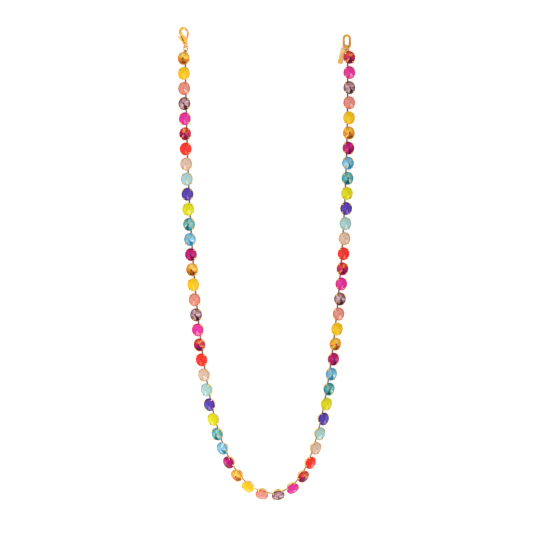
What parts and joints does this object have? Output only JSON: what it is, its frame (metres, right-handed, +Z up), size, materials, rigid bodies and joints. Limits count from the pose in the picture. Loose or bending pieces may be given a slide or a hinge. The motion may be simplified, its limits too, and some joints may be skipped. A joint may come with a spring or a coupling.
{
  "type": "eyeglasses chain strap",
  "caption": "Eyeglasses chain strap of round foiled crystals in gold cups joined by flat links, with a lobster clasp at one end and an oval link and tag at the other.",
  "frame": {"origin": "bottom centre of the bounding box, on the table the strap lies on", "axes": "+X across the loop, +Y from the bend to the two free ends, +Z up out of the stones"},
  "size_m": [0.1188, 0.3164, 0.0078],
  "materials": {
    "crystal_yellow": "faceted crystal with a foiled back, in gold plated cups",
    "gold_plated_brass": "polished gold plating",
    "crystal_fuchsia": "faceted crystal with a foiled back, in gold plated cups",
    "crystal_peach": "faceted crystal with a foiled back, in gold plated cups",
    "crystal_lime": "faceted crystal with a foiled back, in gold plated cups",
    "crystal_dark_fuchsia": "faceted crystal with a foiled back, in gold plated cups",
    "crystal_coral": "faceted crystal with a foiled back, in gold plated cups",
    "crystal_volcano": "faceted crystal with a foiled back, in gold plated cups",
    "crystal_mint": "faceted crystal with a foiled back, in gold plated cups",
    "crystal_light_blue": "faceted crystal with a foiled back, in gold plated cups",
    "crystal_amber_multi": "faceted crystal with a foiled back, in gold plated cups",
    "crystal_red": "faceted crystal with a foiled back, in gold plated cups",
    "spring_steel": "drawn and polished"
  },
  "bodies": {
    "cup_group_12": {"cup_group_12": "crystal_coral"},
    "cup_group_01": {"cup_group_01": "crystal_yellow"},
    "cup_group_02": {"cup_group_02": "crystal_fuchsia"},
    "cup_group_03": {"cup_group_03": "crystal_peach"},
    "cup_group_04": {"cup_group_04": "crystal_lime"},
    "cup_group_05": {"cup_group_05": "crystal_dark_fuchsia"},
    "cup_group_06": {"cup_group_06": "crystal_coral"},
    "cup_group_07": {"cup_group_07": "crystal_volcano"},
    "cup_group_08": {"cup_group_08": "crystal_mint"},
    "cup_group_09": {"cup_group_09": "crystal_lime"},
    "cup_group_10": {"cup_group_10": "crystal_light_blue"},
    "cup_group_11": {"cup_group_11": "crystal_amber_multi"},
    "cup_group_13": {"cup_group_13": "crystal_fuchsia"},
    "cup_group_14": {"cup_group_14": "crystal_red"},
    "cup_group_15": {"cup_group_15": "crystal_mint"},
    "cup_group_16": {"cup_group_16": "crystal_lime"},
    "cup_group_17": {"cup_group_17": "crystal_light_blue"},
    "cup_group_18": {"cup_group_18": "crystal_yellow"},
    "cup_group_19": {"cup_group_19": "crystal_fuchsia"},
    "cup_group_20": {"cup_group_20": "crystal_peach"},
    "cup_group_21": {"cup_group_21": "crystal_lime"},
    "cup_group_22": {"cup_group_22": "crystal_dark_fuchsia"},
    "cup_group_23": {"cup_group_23": "crystal_coral"},
    "chain_link_01": {"chain_link_01": "gold_plated_brass"},
    "chain_link_02": {"chain_link_02": "gold_plated_brass"},
    "chain_link_03": {"chain_link_03": "gold_plated_brass"},
    "chain_link_04": {"chain_link_04": "gold_plated_brass"},
    "chain_link_05": {"chain_link_05": "gold_plated_brass"},
    "chain_link_06": {"chain_link_06": "gold_plated_brass"},
    "chain_link_07": {"chain_link_07": "gold_plated_brass"},
    "chain_link_08": {"chain_link_08": "gold_plated_brass"},
    "chain_link_09": {"chain_link_09": "gold_plated_brass"},
    "chain_link_10": {"chain_link_10": "gold_plated_brass"},
    "chain_link_11": {"chain_link_11": "gold_plated_brass"},
    "chain_link_12": {"chain_link_12": "gold_plated_brass"},
    "chain_link_13": {"chain_link_13": "gold_plated_brass"},
    "chain_link_14": {"chain_link_14": "gold_plated_brass"},
    "chain_link_15": {"chain_link_15": "gold_plated_brass"},
    "chain_link_16": {"chain_link_16": "gold_plated_brass"},
    "chain_link_17": {"chain_link_17": "gold_plated_brass"},
    "chain_link_18": {"chain_link_18": "gold_plated_brass"},
    "chain_link_19": {"chain_link_19": "gold_plated_brass"},
    "chain_link_20": {"chain_link_20": "gold_plated_brass"},
    "chain_link_21": {"chain_link_21": "gold_plated_brass"},
    "chain_link_22": {"chain_link_22": "gold_plated_brass"},
    "chain_link_23": {"chain_link_23": "gold_plated_brass"},
    "chain_link_24": {"chain_link_24": "gold_plated_brass"},
    "clasp_end_setting": {"clasp_end_cup": "gold_plated_brass", "clasp_end_stone": "crystal_amber_multi"},
    "ring_end_setting": {"ring_end_cup": "gold_plated_brass", "ring_end_stone": "crystal_volcano"},
    "clasp_jump_ring": {"clasp_jump_ring": "gold_plated_brass"},
    "clasp": {"clasp_body": "gold_plated_brass", "clasp_pivot_pin": "spring_steel", "clasp_spring": "spring_steel"},
    "clasp_lever": {"clasp_lever": "gold_plated_brass"},
    "end_jump_ring": {"end_jump_ring": "gold_plated_brass"},
    "oval_end_link": {"oval_end_link": "gold_plated_brass"},
    "tag_jump_ring": {"tag_jump_ring": "gold_plated_brass"},
    "tag": {"tag": "gold_plated_brass"}
  },
  "joints": [
    {"name": "chain_link_12_bend", "type": "hinge", "parent": "cup_group_12", "child": "chain_link_12", "pos_m": [-0.00503, -0.15187, 0.00278], "axis": [0.2059, 0.7402, 0.64], "range_deg": [-20, 20]},
    {"name": "chain_link_12_sway", "type": "hinge", "parent": "chain_link_12", "child": "cup_group_11", "pos_m": [-0.0096, -0.14926, 0.00276], "axis": [-0.3817, -0.5045, 0.7744], "range_deg": [-10, 10]},
    {"name": "chain_link_11_bend", "type": "hinge", "parent": "cup_group_11", "child": "chain_link_11", "pos_m": [-0.02006, -0.13859, 0.00272], "axis": [-0.6172, -0.4833, -0.6209], "range_deg": [-20, 20]},
    {"name": "chain_link_11_sway", "type": "hinge", "parent": "chain_link_11", "child": "cup_group_10", "pos_m": [-0.02276, -0.13415, 0.00268], "axis": [0.5319, 0.289, -0.796], "range_deg": [-10, 10]},
    {"name": "chain_link_10_bend", "type": "hinge", "parent": "cup_group_10", "child": "chain_link_10", "pos_m": [-0.02908, -0.12058, 0.00262], "axis": [-0.7494, -0.307, -0.5867], "range_deg": [-20, 20]},
    {"name": "chain_link_10_sway", "type": "hinge", "parent": "chain_link_10", "child": "cup_group_09", "pos_m": [-0.0308, -0.11569, 0.00256], "axis": [0.538, 0.175, -0.8246], "range_deg": [-10, 10]},
    {"name": "chain_link_09_bend", "type": "hinge", "parent": "cup_group_09", "child": "chain_link_09", "pos_m": [-0.03502, -0.10131, 0.00249], "axis": [0.8109, 0.2169, 0.5435], "range_deg": [-20, 20]},
    {"name": "chain_link_09_sway", "type": "hinge", "parent": "chain_link_09", "child": "cup_group_08", "pos_m": [-0.03623, -0.09628, 0.00242], "axis": [-0.508, -0.1146, 0.8537], "range_deg": [-10, 10]},
    {"name": "chain_link_08_bend", "type": "hinge", "parent": "cup_group_08", "child": "chain_link_08", "pos_m": [-0.03928, -0.08161, 0.00235], "axis": [0.851, 0.1648, 0.4986], "range_deg": [-20, 20]},
    {"name": "chain_link_08_sway", "type": "hinge", "parent": "chain_link_08", "child": "cup_group_07", "pos_m": [-0.04019, -0.07651, 0.00229], "axis": [-0.471, -0.0794, 0.8786], "range_deg": [-10, 10]},
    {"name": "chain_link_07_bend", "type": "hinge", "parent": "cup_group_07", "child": "chain_link_07", "pos_m": [-0.04388, -0.05173, 0.00217], "axis": [-0.8896, -0.1172, -0.4414], "range_deg": [-20, 20]},
    {"name": "chain_link_07_sway", "type": "hinge", "parent": "chain_link_07", "child": "cup_group_06", "pos_m": [-0.04452, -0.04659, 0.00213], "axis": [0.4238, 0.0499, -0.9044], "range_deg": [-10, 10]},
    {"name": "chain_link_06_bend", "type": "hinge", "parent": "cup_group_06", "child": "chain_link_06", "pos_m": [-0.04715, -0.02166, 0.00206], "axis": [-0.9104, -0.0867, -0.4045], "range_deg": [-20, 20]},
    {"name": "chain_link_06_sway", "type": "hinge", "parent": "chain_link_06", "child": "cup_group_05", "pos_m": [-0.04762, -0.01651, 0.00203], "axis": [0.3951, 0.034, -0.918], "range_deg": [-10, 10]},
    {"name": "chain_link_05_bend", "type": "hinge", "parent": "cup_group_05", "child": "chain_link_05", "pos_m": [-0.04956, 0.00848, 0.002], "axis": [0.9203, 0.0649, 0.3857], "range_deg": [-20, 20]},
    {"name": "chain_link_05_sway", "type": "hinge", "parent": "chain_link_05", "child": "cup_group_04", "pos_m": [-0.04991, 0.01365, 0.00198], "axis": [-0.3815, -0.0244, 0.9241], "range_deg": [-10, 10]},
    {"name": "chain_link_04_bend", "type": "hinge", "parent": "cup_group_04", "child": "chain_link_04", "pos_m": [-0.05136, 0.03866, 0.00197], "axis": [0.9245, 0.0483, 0.378], "range_deg": [-20, 20]},
    {"name": "chain_link_04_sway", "type": "hinge", "parent": "chain_link_04", "child": "cup_group_03", "pos_m": [-0.05161, 0.04384, 0.00197], "axis": [-0.3764, -0.0177, 0.9263], "range_deg": [-10, 10]},
    {"name": "chain_link_03_bend", "type": "hinge", "parent": "cup_group_03", "child": "chain_link_03", "pos_m": [-0.05267, 0.06888, 0.00196], "axis": [-0.9262, -0.035, -0.3755], "range_deg": [-20, 20]},
    {"name": "chain_link_03_sway", "type": "hinge", "parent": "chain_link_03", "child": "cup_group_02", "pos_m": [-0.05286, 0.07405, 0.00196], "axis": [0.3749, 0.0126, -0.927], "range_deg": [-10, 10]},
    {"name": "chain_link_02_bend", "type": "hinge", "parent": "cup_group_02", "child": "chain_link_02", "pos_m": [-0.0536, 0.0991, 0.00196], "axis": [-0.9268, -0.0239, -0.3748], "range_deg": [-20, 20]},
    {"name": "chain_link_02_sway", "type": "hinge", "parent": "chain_link_02", "child": "cup_group_01", "pos_m": [-0.05372, 0.10428, 0.00196], "axis": [0.3746, 0.0083, -0.9271], "range_deg": [-10, 10]},
    {"name": "chain_link_01_bend", "type": "hinge", "parent": "cup_group_01", "child": "chain_link_01", "pos_m": [-0.05419, 0.12934, 0.00196], "axis": [0.9271, 0.0143, 0.3746], "range_deg": [-20, 20]},
    {"name": "chain_link_01_sway", "type": "hinge", "parent": "chain_link_01", "child": "clasp_end_setting", "pos_m": [-0.05426, 0.13452, 0.00196], "axis": [-0.3746, -0.0052, 0.9272], "range_deg": [-10, 10]},
    {"name": "chain_link_13_bend", "type": "hinge", "parent": "cup_group_12", "child": "chain_link_13", "pos_m": [0.0098, -0.15258, 0.00279], "axis": [-0.1483, 0.7516, 0.6428], "range_deg": [-20, 20]},
    {"name": "chain_link_13_sway", "type": "hinge", "parent": "chain_link_13", "child": "cup_group_13", "pos_m": [0.01455, -0.15022, 0.00278], "axis": [-0.3847, 0.5123, -0.7678], "range_deg": [-10, 10]},
    {"name": "chain_link_14_bend", "type": "hinge", "parent": "cup_group_13", "child": "chain_link_14", "pos_m": [0.02459, -0.13918, 0.00276], "axis": [-0.6361, 0.4399, 0.6339], "range_deg": [-20, 20]},
    {"name": "chain_link_14_sway", "type": "hinge", "parent": "chain_link_14", "child": "cup_group_14", "pos_m": [0.02689, -0.13452, 0.00273], "axis": [-0.5683, 0.2547, -0.7824], "range_deg": [-10, 10]},
    {"name": "chain_link_15_bend", "type": "hinge", "parent": "cup_group_14", "child": "chain_link_15", "pos_m": [0.03219, -0.12051, 0.00268], "axis": [0.7538, -0.2499, -0.6077], "range_deg": [-20, 20]},
    {"name": "chain_link_15_sway", "type": "hinge", "parent": "chain_link_15", "child": "cup_group_15", "pos_m": [0.03361, -0.11553, 0.00263], "axis": [0.5698, -0.151, 0.8078], "range_deg": [-10, 10]},
    {"name": "chain_link_16_bend", "type": "hinge", "parent": "cup_group_15", "child": "chain_link_16", "pos_m": [0.03712, -0.10097, 0.00257], "axis": [0.803, -0.1783, -0.5688], "range_deg": [-20, 20]},
    {"name": "chain_link_16_sway", "type": "hinge", "parent": "chain_link_16", "child": "cup_group_16", "pos_m": [0.03814, -0.09589, 0.0025], "axis": [0.5368, -0.1029, 0.8374], "range_deg": [-10, 10]},
    {"name": "chain_link_17_bend", "type": "hinge", "parent": "cup_group_16", "child": "chain_link_17", "pos_m": [0.04079, -0.08114, 0.00243], "axis": [-0.8399, 0.1418, 0.524], "range_deg": [-20, 20]},
    {"name": "chain_link_17_sway", "type": "hinge", "parent": "chain_link_17", "child": "cup_group_17", "pos_m": [0.0416, -0.07603, 0.00236], "axis": [-0.496, 0.0747, -0.8651], "range_deg": [-10, 10]},
    {"name": "chain_link_18_bend", "type": "hinge", "parent": "cup_group_17", "child": "chain_link_18", "pos_m": [0.04497, -0.0512, 0.00223], "axis": [-0.8808, 0.1083, 0.461], "range_deg": [-20, 20]},
    {"name": "chain_link_18_sway", "type": "hinge", "parent": "chain_link_18", "child": "cup_group_18", "pos_m": [0.04557, -0.04605, 0.00218], "axis": [-0.4409, 0.0493, -0.8962], "range_deg": [-10, 10]},
    {"name": "chain_link_19_bend", "type": "hinge", "parent": "cup_group_18", "child": "chain_link_19", "pos_m": [0.04811, -0.02112, 0.00209], "axis": [0.9055, -0.084, -0.4161], "range_deg": [-20, 20]},
    {"name": "chain_link_19_sway", "type": "hinge", "parent": "chain_link_19", "child": "cup_group_19", "pos_m": [0.04857, -0.01596, 0.00206], "axis": [0.4043, -0.0342, 0.914], "range_deg": [-10, 10]},
    {"name": "chain_link_20_bend", "type": "hinge", "parent": "cup_group_19", "child": "chain_link_20", "pos_m": [0.05048, 0.00902, 0.00201], "axis": [0.9181, -0.0638, -0.3911], "range_deg": [-20, 20]},
    {"name": "chain_link_20_sway", "type": "hinge", "parent": "chain_link_20", "child": "cup_group_20", "pos_m": [0.05083, 0.01419, 0.002], "axis": [0.3855, -0.0241, 0.9224], "range_deg": [-10, 10]},
    {"name": "chain_link_21_bend", "type": "hinge", "parent": "cup_group_20", "child": "chain_link_21", "pos_m": [0.05223, 0.03921, 0.00198], "axis": [-0.9238, 0.0458, 0.3801], "range_deg": [-20, 20]},
    {"name": "chain_link_21_sway", "type": "hinge", "parent": "chain_link_21", "child": "cup_group_21", "pos_m": [0.05247, 0.04439, 0.00197], "axis": [-0.3779, 0.0164, -0.9257], "range_deg": [-10, 10]},
    {"name": "chain_link_22_bend", "type": "hinge", "parent": "cup_group_21", "child": "chain_link_22", "pos_m": [0.05341, 0.06943, 0.00197], "axis": [-0.9261, 0.0294, 0.3761], "range_deg": [-20, 20]},
    {"name": "chain_link_22_sway", "type": "hinge", "parent": "chain_link_22", "child": "cup_group_22", "pos_m": [0.05356, 0.07461, 0.00196], "axis": [-0.3754, 0.0098, -0.9268], "range_deg": [-10, 10]},
    {"name": "chain_link_23_bend", "type": "hinge", "parent": "cup_group_22", "child": "chain_link_23", "pos_m": [0.05407, 0.09966, 0.00196], "axis": [0.9269, -0.0141, -0.375], "range_deg": [-20, 20]},
    {"name": "chain_link_23_sway", "type": "hinge", "parent": "chain_link_23", "child": "cup_group_23", "pos_m": [0.05414, 0.10484, 0.00196], "axis": [0.3748, -0.0037, 0.9271], "range_deg": [-10, 10]},
    {"name": "chain_link_24_bend", "type": "hinge", "parent": "cup_group_23", "child": "chain_link_24", "pos_m": [0.05425, 0.1299, 0.00196], "axis": [0.9272, 0.0005, -0.3747], "range_deg": [-20, 20]},
    {"name": "chain_link_24_sway", "type": "hinge", "parent": "chain_link_24", "child": "ring_end_setting", "pos_m": [0.05423, 0.13508, 0.00196], "axis": [0.3746, 0.0012, 0.9272], "range_deg": [-10, 10]},
    {"name": "clasp_ring_swing", "type": "hinge", "parent": "clasp_end_setting", "child": "clasp_jump_ring", "pos_m": [-0.05436, 0.14171, 0.00196], "axis": [0.6157, 0, -0.788], "range_deg": [-25, 25]},
    {"name": "clasp_swing", "type": "hinge", "parent": "clasp_jump_ring", "child": "clasp", "pos_m": [-0.05411, 0.14561, 0.00186], "axis": [0.6157, 0, -0.788], "range_deg": [-25, 15]},
    {"name": "clasp_lever_open", "type": "hinge", "parent": "clasp", "child": "clasp_lever", "pos_m": [-0.05481, 0.14765, 0.00165], "axis": [0, 0, 1], "range_deg": [0, 24], "stiffness_Nm_per_rad": 0.005, "springref_deg": -17.19, "deforming": ["clasp_spring"]},
    {"name": "end_ring_swing", "type": "hinge", "parent": "ring_end_setting", "child": "end_jump_ring", "pos_m": [0.05421, 0.14228, 0.00196], "axis": [0.5, 0, 0.866], "range_deg": [-25, 25]},
    {"name": "oval_link_swing", "type": "hinge", "parent": "end_jump_ring", "child": "oval_end_link", "pos_m": [0.05371, 0.14438, 0.00172], "axis": [1, 0, 0], "range_deg": [-3, 30]},
    {"name": "tag_ring_swing", "type": "hinge", "parent": "oval_end_link", "child": "tag_jump_ring", "pos_m": [0.05222, 0.145, 0.00172], "axis": [0.7071, -0.7071, 0], "range_deg": [-5, 15]},
    {"name": "tag_swing", "type": "hinge", "parent": "tag_jump_ring", "child": "tag", "pos_m": [0.05135, 0.14307, 0.00164], "axis": [-0.5682, 0.328, -0.7547], "range_deg": [-20, 10]}
  ]
}
